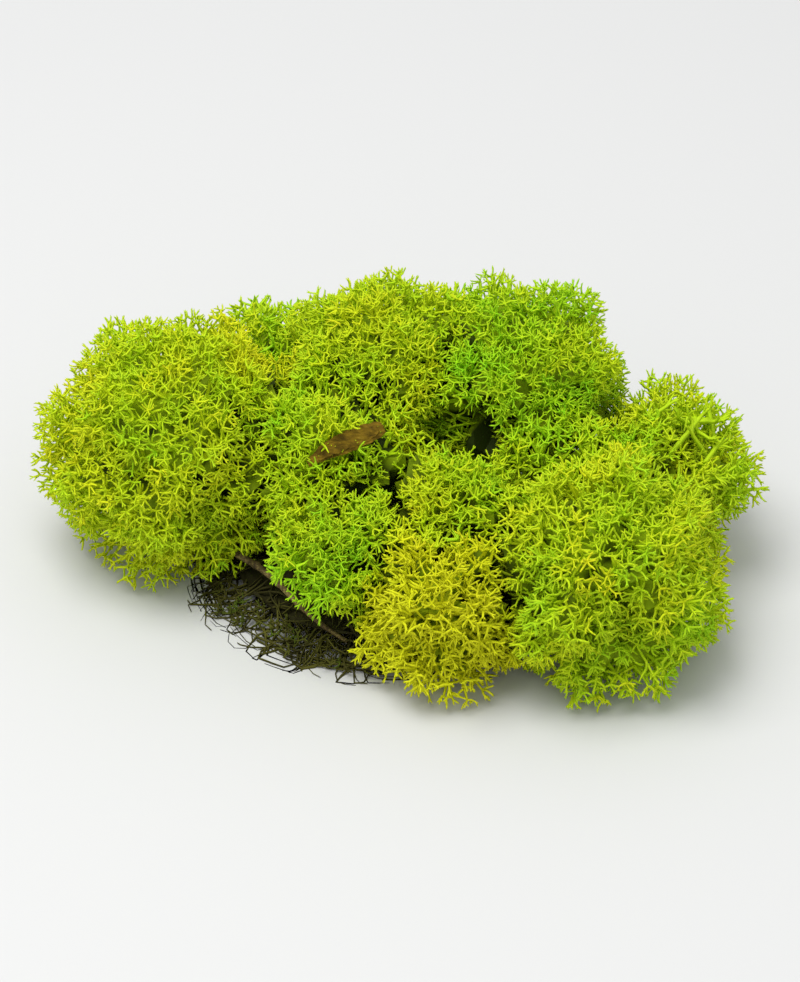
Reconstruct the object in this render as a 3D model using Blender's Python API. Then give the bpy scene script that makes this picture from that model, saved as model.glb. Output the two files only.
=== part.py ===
"""Reindeer moss clump: round heads of forked branchlets crowded on a tangle of old stems.

Metres, +Z up. The clump rests on z = 0 on the flat underside of its old stems, its
origin is the middle of that spot, and the side with the bark scrap and the twig faces -Y.
"""
import math
import random
from collections import namedtuple

import bmesh
import bpy
from mathutils import Matrix, Vector, noise

MM = 0.001
FAR = 1000.0
TINY = 1e-6
FLAT = 0.01

# The heads, in millimetres: where the middle of each crown is, and the crown's radius.
Head = namedtuple("Head", "name x y z radius finish")
HEADS = (
    Head("head_left", -46.0, 12.0, 24.5, 27.5, "moss_yellow_green"),
    Head("head_crown", -1.0, 25.0, 34.5, 21.0, "moss_yellow_green"),
    Head("head_cap", 29.0, 22.0, 32.5, 23.0, "moss_green"),
    Head("head_saddle", -12.0, 3.0, 28.0, 19.5, "moss_yellow_green"),
    Head("head_middle", -7.5, -17.0, 20.5, 16.5, "moss_green"),
    Head("head_ridge", 15.0, -12.0, 23.5, 17.5, "moss_yellow_green"),
    Head("head_front", 12.5, -31.0, 15.5, 18.0, "moss_golden"),
    Head("head_corner", 46.0, -27.0, 20.5, 25.0, "moss_green"),
    Head("head_inner", 38.0, -1.0, 22.0, 18.0, "moss_yellow_green"),
    Head("head_right", 59.0, 7.0, 20.0, 20.5, "moss_yellow_green"),
    Head("head_back_left", -22.0, 39.5, 19.0, 20.5, "moss_green"),
    Head("head_back_right", 16.0, 42.5, 19.0, 20.0, "moss_green"),
)
NEIGHBOUR_REACH = 1.2

# Crowns: how far the solid middle reaches, and the cauliflower lobes on the surface.
CORE_SHARE = 0.64
CONTACT_SHARE = 0.84
TRUNK_SHARE = 0.42
LOBE_SIZE = 13.0
LOBE_HEIGHT = 6.0
LOBE_MIDDLE = 0.42
FACE_EDGE = 14.8
NUDGE = 0.30
LEAST_ROOM = 2.6
LOWEST_FORK = -0.82

# Forks: a stalk on each free face of the middle parts into three arms, and about half of
# the arms part again into three tips.
STALK_WIDTH = 0.30
STALK_SHARE = 0.20
ARM_WIDTH = 0.36
FORKED_SHARE = 0.5
ARM_SHARE = 0.60
ARM_UNEVEN = 0.15
HUMP = 0.05
TIP_LEAN = 0.55
TIP_UNEVEN = 0.08

# The old stems: a low dome under the heads, with a flat spot to rest on.
STEMS_MIDDLE = Vector((0.0, 0.0, 5.0))
STEMS_REACH = Vector((41.0, 35.0, 12.0))
STEMS_UNDER = 6.5
STEMS_POINTS = 110
STEMS_CORE = 0.82
STEMS_RIM = 0.70
STEMS_LOWEST_FORK = -0.5
STEMS_TRUNK = 1.25
STEMS_SEAT_RIM = 0.80
STEMS_WAVE = 0.12
STEMS_WAVES = 3.0
STEMS_ROOM = 1.8
STEMS_DOME = 10.0
STEMS_SWEEP = 72.0
GAP = 0.30
FLOOR_CLEARANCE = 1.2

# Litter caught in the moss. Each piece lies in a box that the moss keeps out of.
Litter = namedtuple("Litter", "middle tip up length width thick")
BARK = Litter(Vector((-8.7, -8.0, 41.7)), Vector((-0.2, -3.8, 43.0)), Vector((0.18, -0.61, 0.77)),
              18.0, 4.2, 1.5)
BARK_THICK = 0.9
BARK_PIECES = 7
BARK_TAPER = 0.45
BARK_TAPER_POWER = 3
BARK_RAGGED = 0.12
TWIG = Litter(Vector((-20.5, -17.5, 6.8)), Vector((-7.5, -29.0, 3.6)), Vector((-0.20, -0.25, 0.95)),
              35.0, 4.0, 2.5)
TWIG_THICK = 1.7
TWIG_TAPER = 0.45
TWIG_ARCH = 0.8
TWIG_SWAY = 1.15
TWIG_POINTS = 13
CLEAR_ASIDE = 0.8

ROUGHNESS = 0.85
FINISHES = {
    "moss_yellow_green": (0.47, 0.62, 0.02),
    "moss_green": (0.25, 0.55, 0.02),
    "moss_golden": (0.42, 0.47, 0.02),
    "moss_old": (0.10, 0.10, 0.02),
    "bark_brown": (0.17, 0.07, 0.02),
    "twig_brown": (0.09, 0.05, 0.02),
}


def make_material(name):
    material = bpy.data.materials.new(name)
    material.use_nodes = True
    shader = material.node_tree.nodes["Principled BSDF"]
    shader.inputs["Base Color"].default_value = (*FINISHES[name], 1.0)
    shader.inputs["Roughness"].default_value = ROUGHNESS
    shader.inputs["Metallic"].default_value = 0.0
    return material


def add_object(name, bm, finish):
    """Make the object from a mesh in millimetres."""
    bmesh.ops.recalc_face_normals(bm, faces=bm.faces)
    if bm.calc_volume(signed=True) < 0:
        bmesh.ops.reverse_faces(bm, faces=bm.faces)
    bmesh.ops.transform(bm, matrix=Matrix.Scale(MM, 4), verts=bm.verts)
    mesh = bpy.data.meshes.new(name)
    bm.to_mesh(mesh)
    bm.free()
    mesh.materials.append(make_material(finish))
    thing = bpy.data.objects.new(name, mesh)
    bpy.context.scene.collection.objects.link(thing)
    return thing


def centre(head):
    return Vector((head.x, head.y, head.z))


def seat(head):
    """Where a head stands on the dome of old stems, and the direction away from the dome."""
    pivot = Vector((STEMS_MIDDLE.x, STEMS_MIDDLE.y, -STEMS_SWEEP))
    away = (centre(head) - pivot).normalized()
    return pivot + away * (STEMS_SWEEP + STEMS_DOME), away


def litter_frame(litter):
    """Axes of a piece of litter: along it, across it and out of the moss."""
    along = (litter.tip - litter.middle).normalized()
    across = litter.up.cross(along).normalized()
    return along, across, along.cross(across)


def bounding_planes(head):
    """Planes that keep a head off its neighbours, the old stems and the ground."""
    middle = centre(head)
    planes = []
    for other in HEADS:
        between = centre(other) - middle
        distance = between.length
        if other is head or distance > NEIGHBOUR_REACH * (head.radius + other.radius):
            continue
        share = (distance ** 2 + head.radius ** 2 - other.radius ** 2) / (2 * distance)
        planes.append((between / distance, share - GAP / 2))
    point, away = seat(head)
    planes.append((-away, (middle - point).dot(away) - GAP / 2))
    planes.append((Vector((0, 0, -1)), head.z - FLOOR_CLEARANCE))
    return planes


def litter_entry(litter, middle, direction):
    """How far a ray runs before it comes within a gap of a piece of litter."""
    along, across, up = litter_frame(litter)
    halves = (litter.length / 2 + CLEAR_ASIDE, litter.width / 2 + CLEAR_ASIDE, litter.thick / 2 + GAP)
    start = middle - litter.middle
    enter, leave = 0.0, FAR
    for axis, half in zip((along, across, up), halves):
        place, pace = start.dot(axis), direction.dot(axis)
        if abs(pace) < TINY:
            if abs(place) > half:
                return FAR
            continue
        near, far = sorted(((-half - place) / pace, (half - place) / pace))
        enter, leave = max(enter, near), min(leave, far)
    return enter if enter < leave else FAR


def reach(planes, middle, direction):
    """How far a ray from the middle runs before it meets a bounding plane or the litter."""
    hits = [far / normal.dot(direction) for normal, far in planes if normal.dot(direction) > TINY]
    hits += [litter_entry(litter, middle, direction) for litter in (BARK, TWIG)]
    return min(hits)


def crown_radius(head, direction):
    """The crown's surface: a sphere with cauliflower lobes."""
    place = (centre(head) + direction * head.radius) / LOBE_SIZE
    nearest = noise.voronoi(place)[0][0]
    return head.radius + LOBE_HEIGHT * (LOBE_MIDDLE - nearest)


def rim_share(spot):
    """How far out over the old stems a place lies: 0 at the middle, 1 at the rim."""
    return Vector((spot.x / STEMS_REACH.x, spot.y / STEMS_REACH.y)).length


def beyond_the_rim(point):
    return rim_share(point - STEMS_MIDDLE) > STEMS_SEAT_RIM


def trunk_radius(head, direction):
    """The bundle of stems that carries the crown down to its seat, if the dome reaches there."""
    point, away = seat(head)
    along = -direction.dot(away)
    if along < TINY or beyond_the_rim(point):
        return 0.0
    aside = math.sqrt(max(1 - along ** 2, TINY))
    return min(TRUNK_SHARE * head.radius / aside, (centre(head) - point).length / along)


def even_directions(count, draw):
    """Directions spread evenly over a sphere, each nudged a little."""
    turn = math.pi * (3 - math.sqrt(5))
    spacing = math.sqrt(4 * math.pi / count)
    for index in range(count):
        height = 1 - (2 * index + 1) / count
        ring = math.sqrt(1 - height ** 2)
        spot = Vector((math.cos(turn * index) * ring, math.sin(turn * index) * ring, height))
        nudge = Vector([draw.uniform(-1, 1) for _ in range(3)]) * NUDGE * spacing
        yield (spot + nudge).normalized()


def middle_radius(head, planes, direction):
    """The solid middle of a head: inside its crown, and flat where it meets a neighbour."""
    crown = crown_radius(head, direction)
    limit = reach(planes, centre(head), direction)
    if limit < CONTACT_SHARE * crown:
        return limit
    return min(max(CORE_SHARE * crown, trunk_radius(head, direction)), limit)


def ball(count, draw):
    """A ball of triangles whose corners are spread evenly."""
    bm = bmesh.new()
    for direction in even_directions(count, draw):
        bm.verts.new(direction)
    bmesh.ops.convex_hull(bm, input=bm.verts)
    bmesh.ops.recalc_face_normals(bm, faces=bm.faces)
    return bm


def raise_end(bm, face, rays, width, radius):
    """Extrude a face outward along its own cone of rays and narrow its end."""
    corners = [(vert.co.copy(), ray) for vert, ray in zip(face.verts, rays)]
    end = bmesh.ops.extrude_discrete_faces(bm, faces=[face])["faces"][0]
    axis = sum(rays, Vector()).normalized()
    end_rays = []
    for vert in end.verts:
        ray = min(corners, key=lambda corner: (corner[0] - vert.co).length)[1]
        end_rays.append(ray)
        heading = axis.lerp(ray, width).normalized()
        vert.co = heading * radius(heading)
    return end, end_rays


def part_end(bm, end, rays, surface):
    """Part the end of a stalk into three faces round a raised hub, each with its own cone."""
    ray_of = dict(zip(end.verts, rays))
    axis = sum(rays, Vector()).normalized()
    parted = bmesh.ops.poke(bm, faces=[end])
    hub = parted["verts"][0]
    hub.co = axis * min(hub.co.length * (1 + HUMP), surface(axis))
    ray_of[hub] = axis
    return [(face, [ray_of[vert] for vert in face.verts]) for face in parted["faces"]]


def raise_tip(bm, face, rays, hub_ray, surface, draw):
    """Raise a face to a point at the surface, leaning away from the hub that it grew round."""
    middle = sum(rays, Vector()).normalized()
    outer = sum((ray for ray in rays if ray != hub_ray), Vector()).normalized()
    aim = middle.lerp(outer, TIP_LEAN).normalized()
    foot = face.calc_center_median().length
    tip = bmesh.ops.poke(bm, faces=[face])["verts"][0]
    limit = surface(aim)
    tip.co = aim * min(max(limit * (1 - TIP_UNEVEN * draw.random()), foot), limit)


def grow_forks(bm, faces, surface, draw):
    """Raise a stalk on each face and part it into arms, some pointed and some forked again."""
    for face in faces:
        base = face.calc_center_median().length
        rays = [vert.co.normalized() for vert in face.verts]

        def part_way(share):
            return lambda heading: base + share * (surface(heading) - base)

        stalk, stalk_rays = raise_end(bm, face, rays, STALK_WIDTH, part_way(STALK_SHARE))
        stalk_axis = sum(stalk_rays, Vector()).normalized()
        for arm, arm_rays in part_end(bm, stalk, stalk_rays, surface):
            if draw.random() > FORKED_SHARE:
                raise_tip(bm, arm, arm_rays, stalk_axis, surface, draw)
                continue
            share = ARM_SHARE * (1 + ARM_UNEVEN * draw.uniform(-1, 1))
            end, end_rays = raise_end(bm, arm, arm_rays, ARM_WIDTH, part_way(share))
            arm_axis = sum(end_rays, Vector()).normalized()
            for tip_face, tip_rays in part_end(bm, end, end_rays, surface):
                raise_tip(bm, tip_face, tip_rays, arm_axis, surface, draw)


def head_mesh(head, draw):
    """One head: an uneven middle that stands on its trunk, with forks on its free sides."""
    planes = bounding_planes(head)

    def surface(direction):
        return min(crown_radius(head, direction), reach(planes, centre(head), direction))

    bm = ball(int(4 * math.pi * head.radius ** 2 / (math.sqrt(3) / 2 * FACE_EDGE ** 2)), draw)
    for vert in bm.verts:
        vert.co = vert.co * middle_radius(head, planes, vert.co.normalized())
    free = []
    for face in bm.faces:
        spot = face.calc_center_median()
        heading = spot.normalized()
        if surface(heading) - spot.length > LEAST_ROOM and heading.z > LOWEST_FORK:
            free.append(face)
    grow_forks(bm, free, surface, draw)
    bmesh.ops.translate(bm, verts=bm.verts, vec=centre(head))
    return bm


def stems_mesh(draw):
    """The old stems: a low dome that the heads stand on, flat underneath, with stems at its rim."""
    planes = [(Vector((0, 0, -1)), STEMS_MIDDLE.z)]
    for head in HEADS:
        point, away = seat(head)
        planes.append((away, (point - STEMS_MIDDLE).dot(away) - GAP / 2))

    def surface(direction):
        under = STEMS_UNDER if direction.z < 0 else STEMS_REACH.z
        spread = Vector((direction.x / STEMS_REACH.x, direction.y / STEMS_REACH.y, direction.z / under))
        wave = 1 + STEMS_WAVE * noise.noise(direction * STEMS_WAVES)
        return min(wave / spread.length, reach(planes, STEMS_MIDDLE, direction))

    def carries_a_head(spot):
        return any((spot - seat(head)[0]).length < STEMS_TRUNK * TRUNK_SHARE * head.radius for head in HEADS)

    bm = ball(STEMS_POINTS, draw)
    for vert in bm.verts:
        heading = Vector([part * extent for part, extent in zip(vert.co, STEMS_REACH)]).normalized()
        spot = heading * surface(heading)
        under = heading.z < 0
        share = 1.0 if under or carries_a_head(STEMS_MIDDLE + spot) else STEMS_CORE
        vert.co = spot * share
    free = []
    for face in bm.faces:
        spot = face.calc_center_median()
        heading = spot.normalized()
        room = surface(heading) - spot.length
        if room > STEMS_ROOM and rim_share(spot) > STEMS_RIM and face.normal.z > STEMS_LOWEST_FORK:
            free.append(face)
    grow_forks(bm, free, surface, draw)
    bmesh.ops.translate(bm, verts=bm.verts, vec=STEMS_MIDDLE)
    for vert in bm.verts:
        if vert.co.z < FLAT:
            vert.co.z = 0.0
    return bm


def bark_mesh():
    """A flake of bark: a thin strip with ragged sides, bowed up along its middle line."""
    along, across, up = litter_frame(BARK)
    low = up * (BARK_THICK - BARK.thick) / 2
    bow = up * (BARK.thick - BARK_THICK)
    bm = bmesh.new()
    rows = []
    for index in range(BARK_PIECES + 1):
        share = index / BARK_PIECES
        taper = 1 - BARK_TAPER * abs(2 * share - 1) ** BARK_TAPER_POWER - BARK_RAGGED * (index % 2)
        middle = BARK.middle + low + along * (share - 0.5) * BARK.length
        side = across * BARK.width / 2 * taper
        rows.append([bm.verts.new(spot) for spot in (middle - side, middle + bow, middle + side)])
    strip = []
    for row, following in zip(rows, rows[1:]):
        for left in range(2):
            strip.append(bm.faces.new((row[left], row[left + 1], following[left + 1], following[left])))
    lower = set(bm.verts)
    bmesh.ops.extrude_face_region(bm, geom=strip)
    half = up * BARK_THICK / 2
    for vert in bm.verts:
        vert.co += -half if vert in lower else half
    return bm


def add_twig():
    """The twig: a tapered curve that sways and arches a little between its ends."""
    along, across, up = litter_frame(TWIG)
    curve = bpy.data.curves.new("twig", "CURVE")
    curve.dimensions = "3D"
    curve.bevel_depth = TWIG_THICK / 2 * MM
    curve.bevel_resolution = 1
    curve.use_fill_caps = True
    spline = curve.splines.new("POLY")
    spline.points.add(TWIG_POINTS - 1)
    for index, point in enumerate(spline.points):
        share = index / (TWIG_POINTS - 1)
        place = TWIG.middle + along * (share - 0.5) * TWIG.length
        place = place + across * TWIG_SWAY * math.sin(2 * math.pi * share)
        rise = TWIG_THICK / 2 - TWIG.thick / 2 + TWIG_ARCH * math.sin(math.pi * share)
        place = place + up * rise
        point.co = (*(place * MM), 1)
        point.radius = 1 - TWIG_TAPER * share
    curve.materials.append(make_material("twig_brown"))
    bpy.context.scene.collection.objects.link(bpy.data.objects.new("twig", curve))


for thing in list(bpy.data.objects):
    bpy.data.objects.remove(thing, do_unlink=True)

for number, head in enumerate(HEADS):
    add_object(head.name, head_mesh(head, random.Random(number)), head.finish)
add_object("old_stems", stems_mesh(random.Random(len(HEADS))), "moss_old")
add_object("bark_scrap", bark_mesh(), "bark_brown")
add_twig()
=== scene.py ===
"""The looks of a dyed reindeer moss clump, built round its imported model.

Metres, +Z up. The clump rests on z = 0 on its old stems, and the side with the flake of bark
and the twig faces -Y. Places and sizes on the clump are in millimetres until a mesh is made.
"""
import random
from collections import namedtuple
from math import cos, pi, radians, sin, sqrt

import bpy
import numpy as np
from mathutils import Matrix, Vector, noise


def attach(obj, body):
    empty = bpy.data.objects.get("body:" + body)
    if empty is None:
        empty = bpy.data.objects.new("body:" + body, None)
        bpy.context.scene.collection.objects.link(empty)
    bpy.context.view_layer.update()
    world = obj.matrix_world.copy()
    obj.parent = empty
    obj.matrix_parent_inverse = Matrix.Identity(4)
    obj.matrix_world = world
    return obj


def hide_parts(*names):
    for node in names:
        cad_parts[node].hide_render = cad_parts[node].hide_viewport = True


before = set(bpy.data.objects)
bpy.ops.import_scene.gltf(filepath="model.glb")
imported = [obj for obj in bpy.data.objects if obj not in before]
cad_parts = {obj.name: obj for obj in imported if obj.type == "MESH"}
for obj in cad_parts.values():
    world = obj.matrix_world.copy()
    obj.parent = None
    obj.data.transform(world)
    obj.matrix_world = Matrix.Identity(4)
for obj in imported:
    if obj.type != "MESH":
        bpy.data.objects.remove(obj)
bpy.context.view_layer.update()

# Camera.
# The photograph looks down on the moss at 38 degrees from a little under a metre away.
# The same place here, with a longer lens, brings the one clump up to the frame's width.
VIEW_HEIGHT = radians(38)
VIEW_DISTANCE = 0.93
VIEW_AIM = Vector((0.003, 0.003, 0.020))
VIEW_LENS = 156
NEAREST_SEEN = 0.01

back = Vector((0, -cos(VIEW_HEIGHT), sin(VIEW_HEIGHT)))
bpy.ops.object.camera_add(location=VIEW_AIM + back * VIEW_DISTANCE,
                          rotation=(pi / 2 - VIEW_HEIGHT, 0, 0))
camera = bpy.context.object
camera.data.lens = VIEW_LENS
camera.data.clip_start = NEAREST_SEEN
bpy.context.scene.camera = camera

# Floor and light.
# A plain pale table top under one broad soft lamp from above, with a pale room all round. Its
# material is the first one made, so what all the materials are made with stands here too.
FLOOR_SIZE = 6
FLOOR_COLOUR = (0.66, 0.66, 0.65, 1)
LAMP_PLACE = Vector((-0.22, -0.12, 0.94))
LAMP_SIZE = 0.60
LAMP_POWER = 7.0
ROOM_COLOUR = (0.97, 0.98, 1.0, 1)
ROOM_STRENGTH = 0.74


class Socket:
    """One output of a node, which can be reckoned with."""

    def __init__(self, tree, output):
        self.tree, self.output = tree, output

    def node(self, kind, settings=None, **values):
        """A new node in the same tree: its settings first, then its sockets."""
        made = self.tree.nodes.new(kind)
        for name, value in (settings or {}).items():
            if name != "stops":
                setattr(made, name, value)
                continue
            while len(made.color_ramp.elements) < len(value):
                made.color_ramp.elements.new(1)
            for element, (place, colour) in zip(made.color_ramp.elements, value):
                element.position, element.color = place, (*colour, 1)
        return Node(self.tree, made).feed(**values)

    def maths(self, operation, first, second):
        return self.node("ShaderNodeMath", {"operation": operation}, _0=first, _1=second)[0]

    def __add__(self, other):
        return self.maths("ADD", self, other)

    def __mul__(self, other):
        return self.maths("MULTIPLY", self, other)

    __radd__, __rmul__ = __add__, __mul__


class Node(Socket):
    """A node, whose outputs are taken by name or number and whose sockets can be fed."""

    def __init__(self, tree, made):
        super().__init__(tree, made.outputs[0] if made.outputs else None)
        self.made = made

    def __getitem__(self, name):
        return Socket(self.tree, self.made.outputs[name])

    def feed(self, **values):
        """Sets or links sockets: _0 is the first one, and an underline in a name is a space."""
        for name, value in values.items():
            place = int(name[1:]) if name[0] == "_" else name.replace("_", " ")
            if isinstance(value, Socket):
                self.tree.links.new(value.output, self.made.inputs[place])
            else:
                self.made.inputs[place].default_value = value
        return self


def new_material(name, **values):
    """A Principled material with plain values on its sockets, and its shader node, wrapped."""
    material = bpy.data.materials.new(name)
    material.use_nodes = True
    shader = Node(material.node_tree, material.node_tree.nodes["Principled BSDF"])
    return material, shader.feed(**values)


bpy.ops.object.select_all(action="DESELECT")
bpy.ops.mesh.primitive_plane_add(size=FLOOR_SIZE)
floor = bpy.context.object
floor.name = "floor"
material, shader = new_material("table_top", Roughness=0.8, Base_Color=FLOOR_COLOUR)
floor.data.materials.append(material)

bpy.ops.object.light_add(type="AREA", location=LAMP_PLACE,
                         rotation=LAMP_PLACE.to_track_quat("Z", "Y").to_euler())
lamp = bpy.context.object
lamp.data.size = LAMP_SIZE
lamp.data.energy = LAMP_POWER
room = bpy.data.worlds.new("room")
room.use_nodes = True
room.node_tree.nodes["Background"].inputs["Color"].default_value = ROOM_COLOUR
room.node_tree.nodes["Background"].inputs["Strength"].default_value = ROOM_STRENGTH
bpy.context.scene.world = room
bpy.context.scene.view_settings.view_transform = "Standard"

# Sprigs.
# The moss is a lichen that branches again and again. Each branchlet ends in a sprig: a star
# of three to five arms round an open axil, which bend outwards and fork into blunt tips.
# Sixteen kinds are modelled here in millimetres, axil at z = 0, and copied by the thousand.
SPRIG_SEED = 11
SPRIG_KINDS = 16
SPRIG_ARMS, FORK_COUNTS, TIP_COUNTS = (4, 3, 4, 3, 5), (1, 2), (2, 2, 1, 1)
BRANCH_SIDES = 3
STALK_THICK, STALK_LENGTH = 0.30, 0.4
ARM_ROOT = Vector((0, 0, 0.05))
ARM_THICK = (0.31, 0.28, 0.25)
HALF_ARM = 0.52
FORK_THICK = (0.24, 0.20)
TIP_THICK = 0.19
JOINT_OVERLAP, FORK_OVERLAP = 0.08, 0.10
# What differs from one arm, fork or tip to the next: lengths, leans and turns, from and to.
ARM_LENGTH, FORK_LENGTH, TIP_LENGTH = (1.2, 1.9), (0.7, 1.2), (0.40, 0.66)
ARM_LEAN_DEG, ARM_BEND_DEG, ARM_TURN_DEG = (46, 76), (-30, 14), (-30, 30)
FORK_LIFT, TIP_LIFT = (-0.50, 0.25), (-0.6, 0.3)
ARM_STRAY, PARTING, PARTING_STRAY = (-0.22, 0.22), (0.9, 1.4), (-0.2, 0.2)

draw = random.Random(SPRIG_SEED)


def leaning(spin, lean):
    """A direction that leans away from +Z by an angle, towards a compass angle."""
    return Vector((sin(lean) * cos(spin), sin(lean) * sin(spin), cos(lean)))


def add_cone(start, direction, length, thick, thin):
    """One tapering three-sided length of branchlet, closed to a tip where thin is 0."""
    bpy.ops.mesh.primitive_cone_add(
        vertices=BRANCH_SIDES, radius1=thick, radius2=thin, depth=length, end_fill_type="NOTHING",
        location=start + direction * length / 2,
        rotation=direction.to_track_quat("Z", "Y").to_euler())
    return start + direction * length


def parting(number, count):
    """How far aside, in radians, one of a few branchlets that part side by side turns."""
    return (number - (count - 1) / 2) * draw.uniform(*PARTING) + draw.uniform(*PARTING_STRAY)


def add_tips(end, spin, lean, tips):
    """The short blunt points that a branchlet ends in."""
    for number in range(tips):
        aside = parting(number, tips)
        way = leaning(spin + aside, lean + draw.uniform(*TIP_LIFT))
        add_cone(end - way * JOINT_OVERLAP, way, draw.uniform(*TIP_LENGTH), TIP_THICK, 0.0)


def add_arm(spin, lean, length, forks):
    """A bent arm that parts into forks, each with its tips."""
    bend = radians(draw.uniform(*ARM_BEND_DEG))
    turn = radians(draw.uniform(*ARM_TURN_DEG))
    knee = add_cone(ARM_ROOT, leaning(spin, lean), length * HALF_ARM, *ARM_THICK[:2])
    way = leaning(spin + turn, lean + bend)
    end = add_cone(knee - way * JOINT_OVERLAP, way, length * HALF_ARM, *ARM_THICK[1:])
    for number in range(forks):
        aside = turn + parting(number, forks)
        fork_lean = lean + bend + draw.uniform(*FORK_LIFT)
        fork_way = leaning(spin + aside, fork_lean)
        fork_root = end - fork_way * FORK_OVERLAP
        fork_end = add_cone(fork_root, fork_way, draw.uniform(*FORK_LENGTH), *FORK_THICK)
        add_tips(fork_end, spin + aside, fork_lean, draw.choice(TIP_COUNTS))


sprigs = []
for kind in range(SPRIG_KINDS):
    bpy.ops.object.select_all(action="DESELECT")
    bpy.ops.mesh.primitive_cone_add(vertices=BRANCH_SIDES, radius1=STALK_THICK, radius2=STALK_THICK,
                                    depth=STALK_LENGTH, end_fill_type="NOTHING", location=(0, 0, 0))
    sprig = bpy.context.object
    bpy.ops.object.mode_set(mode="EDIT")
    arms = SPRIG_ARMS[kind % len(SPRIG_ARMS)]
    for arm in range(arms):
        spin = 2 * pi * (arm + draw.uniform(*ARM_STRAY)) / arms
        add_arm(spin, radians(draw.uniform(*ARM_LEAN_DEG)), draw.uniform(*ARM_LENGTH),
                max(FORK_COUNTS) if arms < max(SPRIG_ARMS) else draw.choice(FORK_COUNTS))
    bpy.ops.object.mode_set(mode="OBJECT")
    points = np.array([vertex.co[:] for vertex in sprig.data.vertices])
    faces = [tuple(face.vertices) for face in sprig.data.polygons]
    sprigs.append((points, [np.array([f for f in faces if len(f) == corners]) for corners in (3, 4)]))
    bpy.data.objects.remove(sprig)
sprig_reach = max(np.linalg.norm(points, axis=1).max() for points, faces in sprigs)

# Heads.
# Every head is one round crown of the lichen. From its foot on the old stems thick branches
# spread and fork three times on their way out, and the sprigs on the last ones close into a
# lobed, cauliflower-like surface. Neighbouring heads press flat against one another.
Head = namedtuple("Head", "name x y z radius slot tone spacing stout")
HEADS = (
    Head("head_left", -46.0, 12.0, 24.5, 27.5, "moss_yellow_green", 0.34, 2.84, 0.94),
    Head("head_crown", -1.0, 25.0, 34.5, 21.0, "moss_yellow_green", 0.28, 2.62, 0.89),
    Head("head_cap", 29.0, 22.0, 32.5, 23.0, "moss_green", 0.21, 2.60, 0.87),
    Head("head_saddle", -12.0, 3.0, 28.0, 19.5, "moss_yellow_green", 0.27, 2.78, 0.93),
    Head("head_middle", -7.5, -17.0, 20.5, 16.5, "moss_green", 0.16, 2.66, 0.90),
    Head("head_ridge", 15.0, -12.0, 23.5, 17.5, "moss_yellow_green", 0.27, 2.72, 0.94),
    Head("head_front", 12.5, -31.0, 15.5, 18.0, "moss_golden", 0.62, 3.05, 1.06),
    Head("head_corner", 46.0, -27.0, 20.5, 25.0, "moss_green", 0.28, 3.00, 1.03),
    Head("head_inner", 38.0, -1.0, 22.0, 18.0, "moss_yellow_green", 0.24, 2.90, 0.98),
    Head("head_right", 59.0, 7.0, 20.0, 20.5, "moss_yellow_green", 0.30, 3.05, 1.00),
    Head("head_back_left", -22.0, 39.5, 19.0, 20.5, "moss_green", 0.22, 3.40, 1.10),
    Head("head_back_right", 16.0, 42.5, 19.0, 20.0, "moss_green", 0.19, 3.40, 1.10),
)
HEAD_SEED = 100
# Where the dye came out otherwise than on the rest of the head, and one patch of painted shade: place,
# radius and tone.
DYE_AND_SHADE_ZONES = (
    (Vector((13.0, -22.0, 36.0)), 12.0, 0.27),
    # Painted shade: the greener, darker left flank of the cap, beside the crease and the hollow.
    (Vector((22.0, 12.0, 42.0)), 13.0, 0.13),
    (Vector((44.0, 14.0, 47.0)), 10.0, 0.28),
    (Vector((-28.0, 20.0, 46.0)), 13.0, 0.46),
    (Vector((-6.0, 18.0, 52.0)), 10.0, 0.36),
)
ZONE_EDGE, TONE_BLEND, TONE_STRAY = 1.4, 2.2, 0.05
# Patches of tone: size, strength, and where their noise is read.
TONE_PATCHES = ((12, 0.17, (0, 0, 0)), (4, 0.10, (9, 0, 0)))
# The crown's lobed surface, and the hollows where no branch reaches it: place, radius, depth.
LOBE_SIZE, LOBE_HEIGHT = 13.0, 12.0
KNOB_SIZE, KNOB_HEIGHT = 6.2, 5.0
RELIEF_MIDDLE = 0.30
MERGE = 1.3
SEEK_STEPS, SEEK_PACE = 4, 0.8
NORMAL_STEP = 1.6
HOLLOWS = (
    (Vector((17.0, 2.0, 35.0)), 9.0, 14.0),
    (Vector((15.5, 13.0, 41.0)), 5.0, 5.0),
    (Vector((37.5, 4.0, 38.0)), 4.5, 7.0),
    (Vector((-26.0, -6.0, 27.0)), 5.5, 8.0),
    (Vector((-25.0, -15.0, 18.0)), 6.0, 7.0),
    (Vector((-20.0, -26.5, 10.0)), 9.5, 8.0),
    (Vector((-12.0, -31.0, 8.0)), 8.0, 6.0),
    (Vector((50.0, -4.0, 32.0)), 5.0, 7.0),
    (Vector((68.0, 2.0, 37.0)), 10.0, 6.5),
    (Vector((58.0, -8.0, 30.0)), 5.0, 6.0),
)
HOLLOW_EDGE = 1.6
CREASE_DEPTH, CREASE_WIDTH, CREASE_WANDER, CREASE_PATCH = 2.8, 3.2, (0.6, 1.4), 7
# What keeps the heads off one another, the old stems and the ground.
GAP = 0.30
NEIGHBOUR_REACH = 1.2
FLOOR_CLEARANCE = 1.2
STRAND_FLOOR = 0.9
STEMS_MIDDLE = Vector((0.0, 0.0, 5.0))
STEMS_DOME, STEMS_SWEEP = 10.0, 72.0
FAR, TINY = 1000.0, 1e-6
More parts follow.
